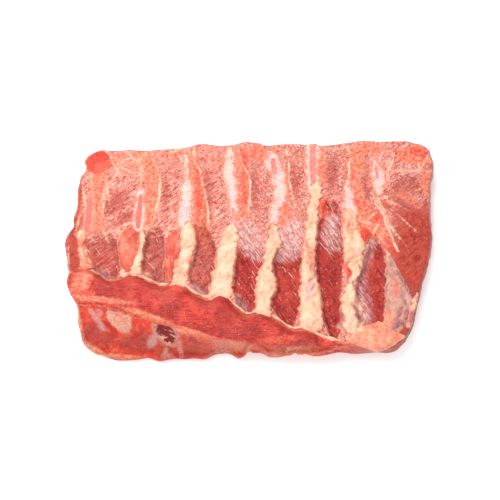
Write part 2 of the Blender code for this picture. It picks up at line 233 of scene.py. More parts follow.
def noise(x, y, size, seed):
    """A smooth random value from -1 to 1 that changes over about `size` millimetres."""
    table = np.random.default_rng(seed).uniform(-1, 1, (64, 64))
    u, v = np.asarray(x) / size + 640, np.asarray(y) / size + 640
    i, j = np.floor(u).astype(int), np.floor(v).astype(int)
    a, b = u - i, v - j
    a, b = a * a * (3 - 2 * a), b * b * (3 - 2 * b)
    low = table[i % 64, j % 64] * (1 - a) + table[(i + 1) % 64, j % 64] * a
    high = table[i % 64, (j + 1) % 64] * (1 - a) + table[(i + 1) % 64, (j + 1) % 64] * a
    return low * (1 - b) + high * b


def patch_edges(rows, y):
    """The left and right x of a patch at y."""
    rows = rows[::-1]
    left = through([(row[0], row[1]) for row in rows], y)
    right = through([(row[0], row[2]) for row in rows], y)
    return left, right


def inside(rows, x, y, rear=1.0):
    """How many millimetres inside a patch a point lies, below 0 outside. A low `rear` starts it gently."""
    left, right = patch_edges(rows, y)
    return np.minimum.reduce([x - left, right - x, y - rows[-1][0], (rows[0][0] - y) * rear])


def inside_any(patches, x, y, rear=1.0):
    """How far inside the nearest of several patches a point lies: the largest of their depths."""
    return np.max([inside(rows, x, y, rear) for rows in patches.values()], axis=0)


def inside_spot(spot, x, y):
    """How many millimetres inside a leaning oval a point lies, below 0 outside."""
    middle_x, middle_y, long, wide, lean = spot
    lean = math.radians(lean)
    along = (x - middle_x) * math.cos(lean) + (y - middle_y) * math.sin(lean)
    aside = (y - middle_y) * math.cos(lean) - (x - middle_x) * math.sin(lean)
    return min(long, wide) * (1 - np.sqrt((along / long) ** 2 + (aside / wide) ** 2))


def stain_depths(x, y):
    """For each kind of stain, how many millimetres inside its nearest shape each point lies."""
    return {label: np.max([inside(shape, x, y) if isinstance(shape, list) else inside_spot(shape, x, y)
                           for shape in shapes], axis=0) for label, shapes in STAINS.items()}


def quilt(u, v):
    """Plan of the slab at u across and v deep.

    Front and rear blended by v, plus left and right blended by u, less the four corners blended by both.
    """
    def along(edge, t):
        place = edge[0][0] + (edge[-1][0] - edge[0][0]) * t
        return place, through(edge, place)
    front_x, front_y = along(FRONT_EDGE, u)
    rear_x, rear_y = along(REAR_EDGE, u)
    left_y, left_x = along(LEFT_EDGE, v)
    right_y, right_x = along(RIGHT_EDGE, v)
    corners = [(1 - v) * ((1 - u) * FRONT_EDGE[0][i] + u * FRONT_EDGE[-1][i])
               + v * ((1 - u) * REAR_EDGE[0][i] + u * REAR_EDGE[-1][i]) for i in (0, 1)]
    x = (1 - v) * front_x + v * rear_x + (1 - u) * left_x + u * right_x - corners[0]
    y = (1 - v) * front_y + v * rear_y + (1 - u) * left_y + u * right_y - corners[1]
    return x, y


def pulled_in(x, y, inset):
    """A plan point moved towards the middle, by the inset at the outline and less further in."""
    return x * (1 - inset / HALF_LONG), y * (1 - inset / HALF_DEEP)


def slab_height(x, y):
    """The upper face: behind, a gentle crown; in front, the long muscle's crest and the slope before it."""
    rear_edge, front_edge = through(MUSCLE_REAR_EDGE, x), through(MUSCLE_FRONT_EDGE, x)
    foot_y = through(FRONT_EDGE, x) + 3
    crest_y = rear_edge - MUSCLE_RISE
    behind = through(FACE_HEIGHT, y) + through(END_DROP, x)
    sag = MUSCLE_SAG * np.clip((crest_y - y) / (crest_y - front_edge), 0, 1) ** 2
    muscle = through(MUSCLE_CREST, x) - sag
    down = np.clip((front_edge - y) / np.maximum(front_edge - foot_y, 1), 0, 1)
    slope = muscle + (through(FOOT_HEIGHT, x) - muscle) * down ** 1.3
    return behind + (slope - behind) * smooth(0, MUSCLE_RISE, rear_edge - y)


def ground(x, y):
    """The slab's upper face with its hollows, before the fine grain: what the laid-on pieces follow."""
    depth = inside_any(HOLLOWS, x, y, 0.2)
    sunk = HOLLOW_DEPTH * smooth(-1.5, 3, depth) - HOLLOW_BELLY * smooth(2.5, 9, depth)
    rolling = 0.8 * noise(x, y, 26, 1) + 0.6 * noise(x, y, 11, 2) + 0.3 * noise(x, y, 5, 3)
    panel = PANEL_RISE * smooth(3, 12, beside_rib(x, y)) * smooth(2, 16, y)
    pit = PIT_DEPTH * smooth(-1.2, 2.5, inside_spot(PIT, x, y))
    return slab_height(x, y) - sunk + rolling + panel - pit


def beside_rib(x, y):
    """Millimetres sideways to the nearest rib's middle line."""
    return np.min([abs(x - through(line[::-1], y)) for line in RIB_LINES], axis=0)


# ---------------------------------------------------------------- making meshes


def put(points):
    """Grid millimetres to frame metres."""
    return (points - np.array([*MIDDLE, 0.0])) * MM


def volume(points, faces):
    """Signed volume of a mesh of quads and triangles: the sum of each fan of tetrahedra to the origin."""
    total = 0.0
    for corner in range(1, faces.shape[1] - 1):
        a, b, c = points[faces[:, 0]], points[faces[:, corner]], points[faces[:, corner + 1]]
        total += np.einsum("ij,ij->i", a, np.cross(b, c)).sum()
    return total


def finish_piece(name, points, quads, fans, values, material, stands_for=()):
    """Makes the piece: its faces turned outwards, its per-point values stored, riding on the body."""
    if volume(points, quads) < 0:
        quads, fans = quads[:, ::-1], fans[:, ::-1]
    mesh = bpy.data.meshes.new(name)
    mesh.from_pydata(put(points), [], quads.tolist() + fans.tolist())
    mesh.shade_smooth()
    for label, value in {**values, **stain_depths(points[:, 0], points[:, 1])}.items():
        value = np.asarray(value, np.float32)
        kind, field = ("FLOAT", "value") if value.ndim == 1 else ("FLOAT_VECTOR", "vector")
        mesh.attributes.new(label, kind, "POINT").data.foreach_set(field, value.ravel())
    mesh.materials.append(material)
    piece = bpy.data.objects.new(name, mesh)
    bpy.context.scene.collection.objects.link(piece)
    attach(piece, "root")
    if stands_for:
        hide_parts(*stands_for)
    return piece


def skin_rings(count, size, start=0):
    """Faces of a closed tube of `count` rings of `size` points, plus a fan at each end's pole."""
    k, m = np.meshgrid(np.arange(count - 1), np.arange(size), indexing="ij")
    after = (m + 1) % size
    quads = np.stack([k * size + m, k * size + after, (k + 1) * size + after, (k + 1) * size + m], -1)
    m = np.arange(size)
    first, last = count * size, count * size + 1
    head = np.stack([(m + 1) % size, m, np.full(size, first)], -1)
    tail_row = (count - 1) * size
    tail = np.stack([tail_row + m, tail_row + (m + 1) % size, np.full(size, last)], -1)
    return quads.reshape(-1, 4) + start, np.concatenate([head, tail]) + start


def pillow(rows, step, lift, sink, seed, along_x=False, ragged=0.5, lumps=0.5, lump_size=6.0, fullness=2.6,
           roll=0.5, creases=()):
    """Rings of a patch laid on the slab, and the values its material reads.

    Along the patch, stations lie about `step` apart, and twice as close at the ends. Across it, each
    ring runs over the top and back underneath, with t from -1 at the left edge to 1 at the right.
    dome = (1 - |t| ** fullness) ** roll, lower towards the ends and on the front slope. On top,
    height = ground + (lift + lumps) * dome, and below, height = ground - sink * dome. Towards each end
    the ring narrows as a half circle does. Each crease (x, y, lean) is a V cut across it.
    """
    first, last = rows[0][0], rows[-1][0]
    count = max(8, int(abs(first - last) / step))
    s = np.linspace(0, 1, count)[:, None]
    s = s - 0.08 * np.sin(2 * math.pi * s)
    station = first + (last - first) * s
    ordered = rows if first < last else rows[::-1]
    low = through([(row[0], row[1]) for row in ordered], station)
    high = through([(row[0], row[2]) for row in ordered], station)
    low = low + ragged * (noise(station, 0, 4.0, seed) + 0.7 * noise(station, 0, 1.8, seed + 1))
    high = high + ragged * (noise(station, 9, 4.0, seed + 2) + 0.7 * noise(station, 9, 1.8, seed + 3))
    half = (high - low) / 2
    reach = np.minimum(abs(station - first), abs(last - station))
    round_end = np.sqrt(1 - (1 - np.clip(reach / np.maximum(half.max() * 0.7, 1), 0, 1)) ** 2)
    round_end = np.maximum(round_end, 0.03)
    across = max(16, int(2 * half.max() / step))
    top = np.sin(np.linspace(-0.5, 0.5, across) * math.pi)
    t = np.concatenate([top, top[::-1][1:-1]])[None, :]
    over = np.concatenate([np.ones(across), np.zeros(across - 2)])[None, :]
    side = (low + high) / 2 + half * t * round_end
    station = station + 0 * side
    x, y = (station, side) if along_x else (side, station)
    floor = ground(x, y)
    dome = np.clip(1 - abs(t) ** fullness, 0, 1) ** roll * np.sqrt(round_end)
    if not along_x:
        dome = dome * (1 - 0.75 * frontness(x, y))
    bumpy = lumps * (noise(x, y, lump_size, seed + 4) + 0.5 * noise(x, y, lump_size / 2.5, seed + 5))
    for at_x, at_y, lean in creases:
        lean = math.radians(lean)
        off = (y - at_y) * math.cos(lean) - (x - at_x) * math.sin(lean)
        off = off + 0.8 * noise(x, y, 3.0, seed + 6)
        bumpy = bumpy - CREASE_DEPTH * np.clip(1 - abs(off) / CREASE_HALF, 0, 1)
    z = np.where(over > 0, floor + (lift + bumpy) * dome - BED, floor - sink * dome - BED)
    edge = np.minimum(half * round_end * (1 - abs(t)) + 0 * side, reach)
    return np.stack([x, y, z], -1), {"edge": edge, "grain": np.stack([station, side, z], -1)}


# ---------------------------------------------------------------- shader building


STUDIO = 0.50       # the lamps light a white card well past white, so each colour is taken down by this
SKY = 0.68
LAMPS = (("key", (-0.5, 0.6, 1.25), 1.1, 45.0), ("glint", (-0.22, 0.5, 1.2), 0.12, 5.0),
         ("fill", (0.1, -0.9, 0.95), 0.9, 10.5))


def srgb(red, green, blue):
    """A colour given in everyday 0 to 255 steps, as the linear values a shader takes in this light."""
    parts = [channel / 255 for channel in (red, green, blue)]
    return (*[STUDIO * (c / 12.92 if c <= 0.04045 else ((c + 0.055) / 1.055) ** 2.4) for c in parts], 1)


class Web:
    """A node tree being wired. Each call adds a node and gives back its output."""

    def __init__(self, tree):
        self.tree = tree

    def add(self, kind, inputs=(), output=0, **settings):
        node = self.tree.nodes.new(kind)
        for key, value in settings.items():
            setattr(node, key, value)
        for key, value in dict(inputs).items():
            if isinstance(value, bpy.types.NodeSocket):
                self.tree.links.new(value, node.inputs[key])
            else:
                node.inputs[key].default_value = value
        return node.outputs[output]

    def value(self, label):
        return self.add("ShaderNodeAttribute", attribute_name=label, output="Fac")

    def vector(self, label):
        return self.add("ShaderNodeAttribute", attribute_name=label, output="Vector")

    def place(self):
        """Object coordinates in millimetres."""
        spot = self.add("ShaderNodeTexCoord", output="Object")
        return self.add("ShaderNodeVectorMath", {0: spot, 3: 1000.0}, operation="SCALE")

    def math(self, operation, a, b=0.0):
        return self.add("ShaderNodeMath", {0: a, 1: b}, operation=operation)

    def times(self, a, b):
        return self.math("MULTIPLY", a, b)

    def plus(self, a, b):
        return self.math("ADD", a, b)

    def step(self, value, low, high, out_low=0.0, out_high=1.0):
        inputs = {0: value, 1: low, 2: high, 3: out_low, 4: out_high}
        return self.add("ShaderNodeMapRange", inputs, interpolation_type="SMOOTHSTEP")

    def mix(self, amount, a, b, blend="MIX"):
        inputs = {0: amount, 6: a, 7: b}
        return self.add("ShaderNodeMix", inputs, output=2, data_type="RGBA", blend_type=blend)

    def noise(self, vector, size, detail=2.0, rough=0.55):
        inputs = {"Vector": vector, "Scale": 1.0 / size, "Detail": detail, "Roughness": rough}
        return self.add("ShaderNodeTexNoise", inputs)

    def group(self, group, **inputs):
        node = self.tree.nodes.new("ShaderNodeGroup")
        node.node_tree = group
        for key, value in inputs.items():
            socket = node.inputs[key.replace("_", " ").capitalize()]
            if isinstance(value, bpy.types.NodeSocket):
                self.tree.links.new(value, socket)
            else:
                socket.default_value = value
        return node


def new_group(name, inputs, outputs):
    """An empty shader group with sockets named as (name, kind, value), and the web to wire it with."""
    group = bpy.data.node_groups.new(name, "ShaderNodeTree")
    for label, kind, value in inputs:
        socket = group.interface.new_socket(label, in_out="INPUT", socket_type=kind)
        if value is not None:
            socket.default_value = value
    for label, kind in outputs:
        group.interface.new_socket(label, in_out="OUTPUT", socket_type=kind)
    web = Web(group)
    return group, web, group.nodes.new("NodeGroupInput").outputs, group.nodes.new("NodeGroupOutput").inputs


def grain_group():
    """Muscle grain: noise drawn out along the fibres. Gives the streaks, the pale flecks and a relief."""
    group, web, given, made = new_group(
        "muscle_grain",
        [("Vector", "NodeSocketVector", None), ("Angle", "NodeSocketFloat", 0.0),
         ("Length", "NodeSocketFloat", 4.0), ("Width", "NodeSocketFloat", 0.8)],
        [("Streaks", "NodeSocketFloat"), ("Flecks", "NodeSocketFloat"), ("Relief", "NodeSocketFloat")])
    turned = web.add("ShaderNodeVectorRotate", {"Vector": given["Vector"], "Angle": given["Angle"]},
                     rotation_type="Z_AXIS")
    size = web.add("ShaderNodeCombineXYZ", {0: given["Length"], 1: given["Width"], 2: given["Width"]})
    drawn = web.add("ShaderNodeVectorMath", {0: turned, 1: size}, operation="DIVIDE")
    fine = web.noise(drawn, 1.0, 3.0, 0.6)
    broad = web.noise(drawn, 3.2, 2.0, 0.5)
    group.links.new(fine, made["Streaks"])
    both = web.plus(web.times(fine, 0.7), web.times(broad, 0.3))
    group.links.new(web.step(both, 0.53, 0.64), made["Flecks"])
    group.links.new(both, made["Relief"])
    return group


def torn_edge_group():
    """Turns a depth inside a patch, in millimetres, into a mask with an uneven border."""
    group, web, given, made = new_group(
        "torn_edge",
        [("Vector", "NodeSocketVector", None), ("Depth", "NodeSocketFloat", 0.0),
         ("Softness", "NodeSocketFloat", 0.8), ("Wander", "NodeSocketFloat", 3.0),
         ("Size", "NodeSocketFloat", 2.5)],
        [("Mask", "NodeSocketFloat")])
    scale = web.math("DIVIDE", 1.0, given["Size"])
    rough = web.add("ShaderNodeTexNoise", {"Vector": given["Vector"], "Scale": scale, "Detail": 3.0})
    shift = web.times(web.math("SUBTRACT", rough, 0.5), given["Wander"])
    depth = web.plus(given["Depth"], shift)
    low = web.times(given["Softness"], -1.0)
    group.links.new(web.step(depth, low, given["Softness"]), made["Mask"])
    return group


def fibres(web, grain, vector, angle, length, width):
    """Muscle grain turned to an angle, each fibre this long and wide: Streaks, Flecks and Relief."""
    return web.group(grain, Vector=vector, Angle=angle, Length=length, Width=width).outputs


def patch_mask(web, torn, place, depth, softness, wander, size=2.5):
    """Where a patch shows, from how deep inside it each point lies, with an uneven border."""
    mask = web.group(torn, Vector=place, Depth=depth, Softness=softness, Wander=wander, Size=size)
    return mask.outputs[0]


def clouded(web, colour, clouds):
    """Lays tints over a colour, in order: none where a field is at `low`, the full share at `high`."""
    for field, low, high, share, tint in clouds:
        colour = web.mix(web.step(field, low, high, 0.0, share), colour, tint)
    return colour


def rimmed(web, colour, uneven, full, none, share, rim):
    """Fades a colour into a rim: the full share up to `full` mm in from the edge, none past `none` mm."""
    border = web.plus(web.value("edge"), uneven)
    return web.mix(web.step(border, full, none, share, 0.0), colour, rim)


def new_material(name):
    """A material with its web, and the shader node that its colours feed."""
    material = bpy.data.materials.new(name)
    material.use_nodes = True
    return material, Web(material.node_tree), material.node_tree.nodes["Principled BSDF"]


def finish_material(web, shader, colour, roughness, relief, depth_mm, gloss=0.5):
    """Feeds the shader: colour, roughness and a bump whose full height is depth_mm."""
    links = web.tree.links
    links.new(colour, shader.inputs["Base Color"])
    if isinstance(roughness, bpy.types.NodeSocket):
        links.new(roughness, shader.inputs["Roughness"])
    else:
        shader.inputs["Roughness"].default_value = roughness
    bump = web.add("ShaderNodeBump", {"Strength": 1.0, "Distance": depth_mm * MM, "Height": relief})
    links.new(bump, shader.inputs["Normal"])
    links.new(bump, shader.inputs["Coat Normal"])
    shader.inputs["Specular IOR Level"].default_value = gloss


# ---------------------------------------------------------------- materials

FIBRE_LEAN, STRAND_LEAN = math.radians(38), math.radians(55)
PIT_RIM = 1.6                           # how wide the peach rim round the hole is, in millimetres
LAYER_SCALE = (0.07, 0.07, 0.5)         # the walls' layers: long along the slab, a few millimetres thick
CUT_PINK, CUT_DARK, CUT_WARM = srgb(245, 144, 126), srgb(184, 76, 64), srgb(247, 124, 98)
# The cut's pale colour serves its combed lines and its flecks, which are partly fat and partly painted
# glints.
CUT_LINE, CUT_FLECK_AND_GLINT, CUT_BROWN = srgb(186, 76, 66), srgb(255, 208, 192), srgb(206, 104, 92)
# The bare muscle's pale colour serves its pale sinew strands and also painted glint specks.
BARE_RED, BARE_DARK, BARE_WARM, BARE_FLECK_AND_GLINT = (srgb(193, 59, 51), srgb(152, 34, 31), srgb(211, 72, 55),
                                              srgb(250, 190, 176))
SLOPE_RED, SLOPE_DARK, SLOPE_PALE = srgb(250, 76, 50), srgb(212, 42, 30), srgb(255, 124, 90)
FLANK_WARM = srgb(206, 84, 62)
# A painted highlight: the near-white of the glint specks laid into the colours of wet flesh.
PAINTED_GLINT = srgb(255, 236, 226)
SKIN_RED, SKIN_DARK, SKIN_PALE = srgb(214, 92, 76), srgb(182, 58, 50), srgb(242, 158, 132)
VEIL_LILAC, VEIL_WHITE = srgb(220, 152, 148), srgb(254, 222, 214)
# The fat's rim colour is painted shade where a strip of fat meets the slab.
FAT_CREAM, FAT_PEACH, FAT_PALE, FAT_RIM_SHADE = (srgb(246, 187, 153), srgb(240, 160, 128), srgb(252, 204, 172),
                                           srgb(232, 128, 104))
BONE_LILAC, BONE_WHITE, BONE_EDGE = srgb(226, 170, 184), srgb(246, 206, 200), srgb(246, 168, 148)
MARROW_RED, MARROW_PINK = srgb(232, 104, 96), srgb(247, 156, 142)
ORANGE_MEAT = (srgb(238, 116, 94), srgb(216, 84, 68), srgb(250, 160, 134), srgb(250, 178, 150))
BRIGHT_MEAT = (srgb(232, 76, 56), srgb(212, 56, 42), srgb(244, 110, 84), srgb(246, 128, 98))
STRIP_MEAT = (srgb(218, 64, 54), srgb(172, 34, 32), srgb(242, 92, 70), srgb(248, 124, 96))
PEACH_GRISTLE = (srgb(252, 158, 124), srgb(244, 122, 94), srgb(254, 200, 168))
BEIGE_GRISTLE = (srgb(206, 148, 124), srgb(180, 112, 102), srgb(236, 190, 162))
SINEW_PINK = srgb(232, 162, 152)
LAYERS = {      # stain: (main colour, second colour, softness, wander, strength)
    "orange": (srgb(238, 100, 72), srgb(252, 158, 128), 2.4, 6.0, 0.9),
    "dusky": (srgb(166, 50, 46), srgb(192, 76, 66), 3.0, 6.0, 0.6),
    "bright": (srgb(230, 70, 52), srgb(244, 110, 86), 2.0, 4.0, 0.85),
    "cream": (srgb(254, 210, 178), srgb(250, 168, 136), 0.8, 3.2, 0.85),
    "rind": (srgb(244, 120, 86), srgb(252, 176, 142), 1.2, 3.0, 0.85),
    "pink": (srgb(236, 112, 104), srgb(250, 164, 150), 0.8, 2.0, 0.9),
    "beige": (srgb(252, 200, 170), srgb(240, 166, 138), 1.4, 3.4, 0.85),
    "grey": (srgb(222, 164, 160), srgb(240, 190, 176), 1.6, 3.4, 0.7),
    "purple": (srgb(132, 58, 66), srgb(184, 106, 108), 1.1, 2.6, 0.8),
}


def stained(web, place, torn, colour, labels):
    """Lays the named kinds of stain over a colour, in order."""
    blotch = web.step(web.noise(place, 2.2, 3.0, 0.6), 0.4, 0.6)
    for label in labels:
        main_colour, second, softness, wander, strength = LAYERS[label]
        mask = patch_mask(web, torn, place, web.value(label), softness, wander)
        colour = web.mix(web.times(mask, strength), colour, web.mix(blotch, main_colour, second))
    return colour


def wet(shader, weight):
    """A thin wet film over the flesh."""
    shader.inputs["Coat Weight"].default_value = weight
    shader.inputs["Coat Roughness"].default_value = 0.16


def meat_fields(web, grain):
    """What the slab's colours share: the place, blotches from coarse to fine, painted glint specks and cut
    fibres.
    """
    place = web.place()
    return SimpleNamespace(
        place=place,
        comb=fibres(web, grain, place, -FIBRE_LEAN, 11.0, 1.3),
        spark=fibres(web, grain, place, -FIBRE_LEAN, 1.7, 0.8),
        patchy=web.noise(place, 11.0, 3.0),
        clouds=web.noise(place, 4.5, 2.0),
        grit=web.noise(place, 2.6, 4.0, 0.75),
        mottle=web.noise(place, 1.8, 3.0, 0.6),
        # Painted highlight: where small specks turn to the glint colour.
        painted_glints=web.step(web.noise(place, 1.1, 2.0, 0.7), 0.66, 0.72, 0.0, 0.55))


def cut_colour(web, at, torn):
    """The sawn face: pink over darker grit, combed with dark and pale lines, flecked with fat and with
    painted glint specks, and stained.
    """
    pink = web.mix(web.step(at.grit, 0.4, 0.52), CUT_DARK, CUT_PINK)
    pink = clouded(web, pink, [(at.patchy, 0.44, 0.66, 0.6, CUT_WARM)])
    brown = web.times(web.value("brown"), web.step(at.clouds, 0.4, 0.6, 0.2, 0.8))
    pink = web.mix(brown, pink, CUT_BROWN)
    for low, high, share, tint in ((0.48, 0.41, 0.8, CUT_LINE), (0.54, 0.61, 0.7, CUT_FLECK_AND_GLINT)):
        lines = web.step(at.comb["Streaks"], low, high, 0.0, share)
        pink = web.mix(web.times(web.value("comb"), lines), pink, tint)
    # Pale flecks: partly the fat's own marbling, partly painted glints of the wet cut.
    crumbs = web.step(web.noise(at.place, 1.7, 3.0, 0.75), 0.54, 0.6)
    flecks = web.math("MAXIMUM", at.spark["Flecks"], crumbs)
    share = web.plus(web.times(web.value("brown"), 0.3), 0.6)
    pink = web.mix(web.times(flecks, share), pink, CUT_FLECK_AND_GLINT)
    return stained(web, at.place, torn, pink, ["dusky", "orange", "bright"])


def bare_colour(web, at, grain):
    """Bare muscle in the hollows and on the flank: dark red, drawn out in strands, with pale flecks and
    painted glint specks.
    """
    belly = fibres(web, grain, at.place, STRAND_LEAN, 16.0, 3.4)["Streaks"]
    strands = fibres(web, grain, at.place, STRAND_LEAN, 12.0, 0.7)["Streaks"]
    red = web.mix(web.step(belly, 0.36, 0.6), BARE_DARK, BARE_RED)
    red = clouded(web, red, [
        (at.patchy, 0.45, 0.66, 0.6, BARE_WARM), (strands, 0.48, 0.36, 0.4, BARE_DARK),
        # Pale strands are the sinew's own colour; the pale mottle specks are painted glints.
        (strands, 0.61, 0.7, 0.5, BARE_FLECK_AND_GLINT), (at.mottle, 0.6, 0.7, 0.4, BARE_FLECK_AND_GLINT),
        (at.mottle, 0.4, 0.3, 0.5, BARE_DARK)])
    # Painted highlight: glint specks over the bare muscle.
    return web.mix(at.painted_glints, red, PAINTED_GLINT)


def slope_colour(web, at, torn):
    """The sloping front: red muscle, stained, before its painted glint specks."""
    slope = web.mix(web.step(at.patchy, 0.36, 0.6), SLOPE_DARK, SLOPE_RED)
    slope = clouded(web, slope, [(at.clouds, 0.5, 0.66, 0.6, SLOPE_PALE)])
    return stained(web, at.place, torn, slope, ["dusky", "bright", "rind"])


def wall_colour(web, at, torn, slope):
    """The slab's sides: thin layers lying one over another, and in front the slope's own colour."""
    layers = web.add("ShaderNodeVectorMath", {0: at.place, 1: LAYER_SCALE}, operation="MULTIPLY")
    skin = web.mix(web.step(web.noise(layers, 1.0, 3.0), 0.4, 0.56), SKIN_DARK, SKIN_RED)
    skin = clouded(web, skin, [(web.noise(layers, 1.7, 3.0), 0.54, 0.64, 0.8, SKIN_PALE),
                               (at.mottle, 0.52, 0.66, 0.5, SKIN_PALE)])
    return web.mix(web.value("front"), skin, stained(web, at.place, torn, slope, ["rind"]))


def pitted(web, at, grain, torn, colour):
    """Lays the hole in the front slope over a colour: a peach rim, then dark folds with pale lines."""
    depth = web.value("pit")
    rim = patch_mask(web, torn, at.place, web.plus(depth, PIT_RIM), 0.5, 1.2)
    colour = web.mix(web.times(rim, 0.8), colour, FAT_PEACH)
    folds = fibres(web, grain, at.place, FIBRE_LEAN, 20.0, 3.4)["Streaks"]
    inner = web.mix(web.step(folds, 0.55, 0.62), BARE_DARK, BARE_FLECK_AND_GLINT)
    return web.mix(patch_mask(web, torn, at.place, depth, 0.5, 1.2), colour, inner)


def veiled(web, at, grain, colour):
    """Lays the lilac-white membrane over a colour, in streaks along its sinew."""
    sinew = fibres(web, grain, at.place, STRAND_LEAN, 26.0, 1.3)["Streaks"]
    veil = web.times(web.value("veil"), web.step(sinew, 0.4, 0.56, 0.5, 0.85))
    return web.mix(veil, colour, web.mix(web.step(sinew, 0.48, 0.58), VEIL_LILAC, VEIL_WHITE))


def meat_material(grain, torn):
    """The slab: pink and combed where the saw cut it, dark red and streaked in the hollows."""
    material, web, shader = new_material("slab_meat")
    at = meat_fields(web, grain)
    hollow = patch_mask(web, torn, at.place, web.value("hollow"), 1.4, 6.0, 4.5)
    bare = web.math("MAXIMUM", web.times(hollow, web.value("bareness")), web.value("deep"))
    colour = web.mix(bare, cut_colour(web, at, torn), bare_colour(web, at, grain))
    warm = web.times(web.value("deep"), web.step(at.clouds, 0.38, 0.6, 0.1, 0.8))
    colour = web.mix(warm, colour, FLANK_WARM)
    slope = slope_colour(web, at, torn)
    # Painted highlight: glint specks at half strength over the front slope.
    slope_with_painted_glints = web.mix(web.times(at.painted_glints, 0.5), slope, PAINTED_GLINT)
    colour = web.mix(web.value("front"), colour, slope_with_painted_glints)
    colour = veiled(web, at, grain, pitted(web, at, grain, torn, colour))
    colour = stained(web, at.place, torn, colour, ["cream", "beige", "grey", "pink", "purple"])
    side = web.times(web.value("side"), 0.9)
    colour = web.mix(side, colour, wall_colour(web, at, torn, slope))
    relief = web.plus(at.spark["Relief"], web.times(at.grit, 0.8))
    relief = web.plus(relief, web.times(at.comb["Relief"], web.value("comb")))
    finish_material(web, shader, colour, web.step(at.mottle, 0.3, 0.7, 0.3, 0.5), relief, 1.5, 0.1)
    wet(shader, 0.06)
    return material


def fat_material(torn):
    """Firm fat: cream crowns and peach creases, the peach painted shade in the low places of the bump, and
    a pinker border, painted shade where the fat meets the slab.
    """
    material, web, shader = new_material("rib_fat")
    place = web.place()
    lumps = web.noise(place, 3.4, 3.0, 0.6)
    specks = web.noise(place, 1.1, 2.0, 0.6)
    broad = web.noise(place, 11.0, 2.0)
    # Painted shade: peach where the lumps' bump is low, cream on its crowns.
    colour = web.mix(web.step(lumps, 0.3, 0.5), FAT_PEACH, FAT_CREAM)
    colour = clouded(web, colour, [(broad, 0.46, 0.62, 0.7, FAT_PALE), (broad, 0.46, 0.36, 0.4, FAT_PEACH),
                                   (specks, 0.52, 0.66, 0.6, FAT_PALE)])
    colour = stained(web, place, torn, colour, ["orange", "beige", "grey", "purple"])
    # Painted shade: a darker, pinker border where the fat meets the slab.
    colour = rimmed(web, colour, web.step(lumps, 0.36, 0.62, -1.0, 1.0), 0.1, 2.6, 0.85, FAT_RIM_SHADE)
    relief = web.plus(lumps, web.times(specks, 0.4))
    finish_material(web, shader, colour, web.step(lumps, 0.3, 0.7, 0.32, 0.5), relief, 1.2, 0.2)
    wet(shader, 0.1)
    return material


def muscle_material(name, grain, torn, colours, length=14.0, width=0.9, rim_width=2.4, layers=()):
    """Bare muscle with its grain along the piece, paler and darker clouds, painted glint specks, and a
    fatty rim.

    The colours are the main one, a darker one, a lighter one and the rim's.
    """
    main_colour, dark, light, rim = colours
    material, web, shader = new_material(name)
    place = web.place()
    fibre = fibres(web, grain, web.vector("grain"), 0.0, length, width)
    clouds = web.noise(place, 13.0, 3.0)
    mottle = web.noise(place, 1.7, 3.0, 0.6)
    colour = web.mix(web.step(fibre["Streaks"], 0.36, 0.58), dark, main_colour)
    colour = clouded(web, colour, [(clouds, 0.48, 0.6, 0.85, dark), (clouds, 0.46, 0.34, 0.6, light)])
    colour = stained(web, place, torn, colour, layers)
    colour = web.mix(web.times(fibre["Flecks"], 0.4), colour, light)
    # Painted highlight: small specks turned to the glint colour.
    colour = clouded(web, colour, [(web.noise(place, 1.1, 2.0, 0.7), 0.65, 0.72, 0.5, PAINTED_GLINT)])
    colour = rimmed(web, colour, web.step(mottle, 0.3, 0.7, -1.0, 1.0), 0.2, rim_width, 0.9, rim)
    relief = web.plus(fibre["Relief"], web.times(mottle, 0.7))
    finish_material(web, shader, colour, web.step(mottle, 0.3, 0.7, 0.28, 0.45), relief, 1.4, 0.12)
    wet(shader, 0.08)
    return material


def bone_material(torn):
    """Sawn bone: speckled lilac and white, fading into pinker tissue at its border, with pink marrow."""
    material, web, shader = new_material("sawn_bone")
    place = web.place()
    specks = web.noise(place, 1.2, 3.0, 0.65)
    broad = web.noise(place, 6.0, 2.0)
    colour = web.mix(web.step(specks, 0.4, 0.56), BONE_LILAC, BONE_WHITE)
    colour = clouded(web, colour, [(broad, 0.48, 0.62, 0.6, FAT_PALE)])
    ragged = web.plus(web.step(specks, 0.35, 0.65, -1.6, 1.6), web.step(broad, 0.35, 0.65, -1.8, 0.8))
    colour = rimmed(web, colour, ragged, 0.4, 4.6, 1.0, BONE_EDGE)
    tissue = web.mix(web.step(specks, 0.44, 0.56), CUT_WARM, CUT_PINK)
    colour = rimmed(web, colour, ragged, -0.4, 2.6, 1.0, tissue)
    core = patch_mask(web, torn, place, web.value("core"), 0.7, 2.2, 1.6)
    marrow = web.mix(web.step(specks, 0.42, 0.58), MARROW_RED, MARROW_PINK)
    across = web.add("ShaderNodeSeparateXYZ", {0: place}, output="X")
    marrow = web.mix(web.step(across, -40.0, -85.0, 0.0, 0.75), marrow, MARROW_RED)
    colour = web.mix(core, colour, marrow)
    finish_material(web, shader, colour, 0.45, specks, 0.9, 0.2)
    return material


def gristle_material(name, base, second, light, torn):
    """Smooth gristle with stained clouds, a pale border, and a pink core where one is given."""
    material, web, shader = new_material(name)
    place = web.place()
    broad = web.noise(place, 7.0, 3.0)
    specks = web.noise(place, 1.4, 3.0, 0.6)
    colour = web.mix(web.step(broad, 0.44, 0.58), base, second)
    colour = clouded(web, colour, [(specks, 0.5, 0.68, 0.5, light)])
    core = patch_mask(web, torn, place, web.value("core"), 1.2, 2.0, 1.8)
    colour = web.mix(web.times(core, 0.7), colour, MARROW_RED)
    colour = stained(web, place, torn, colour, ["orange", "grey", "purple"])
    colour = rimmed(web, colour, web.step(specks, 0.35, 0.65, -0.8, 0.8), 0.1, 1.6, 0.8, light)
    finish_material(web, shader, colour, 0.35, web.plus(broad, specks), 0.9, 0.2)
    wet(shader, 0.12)
    return material


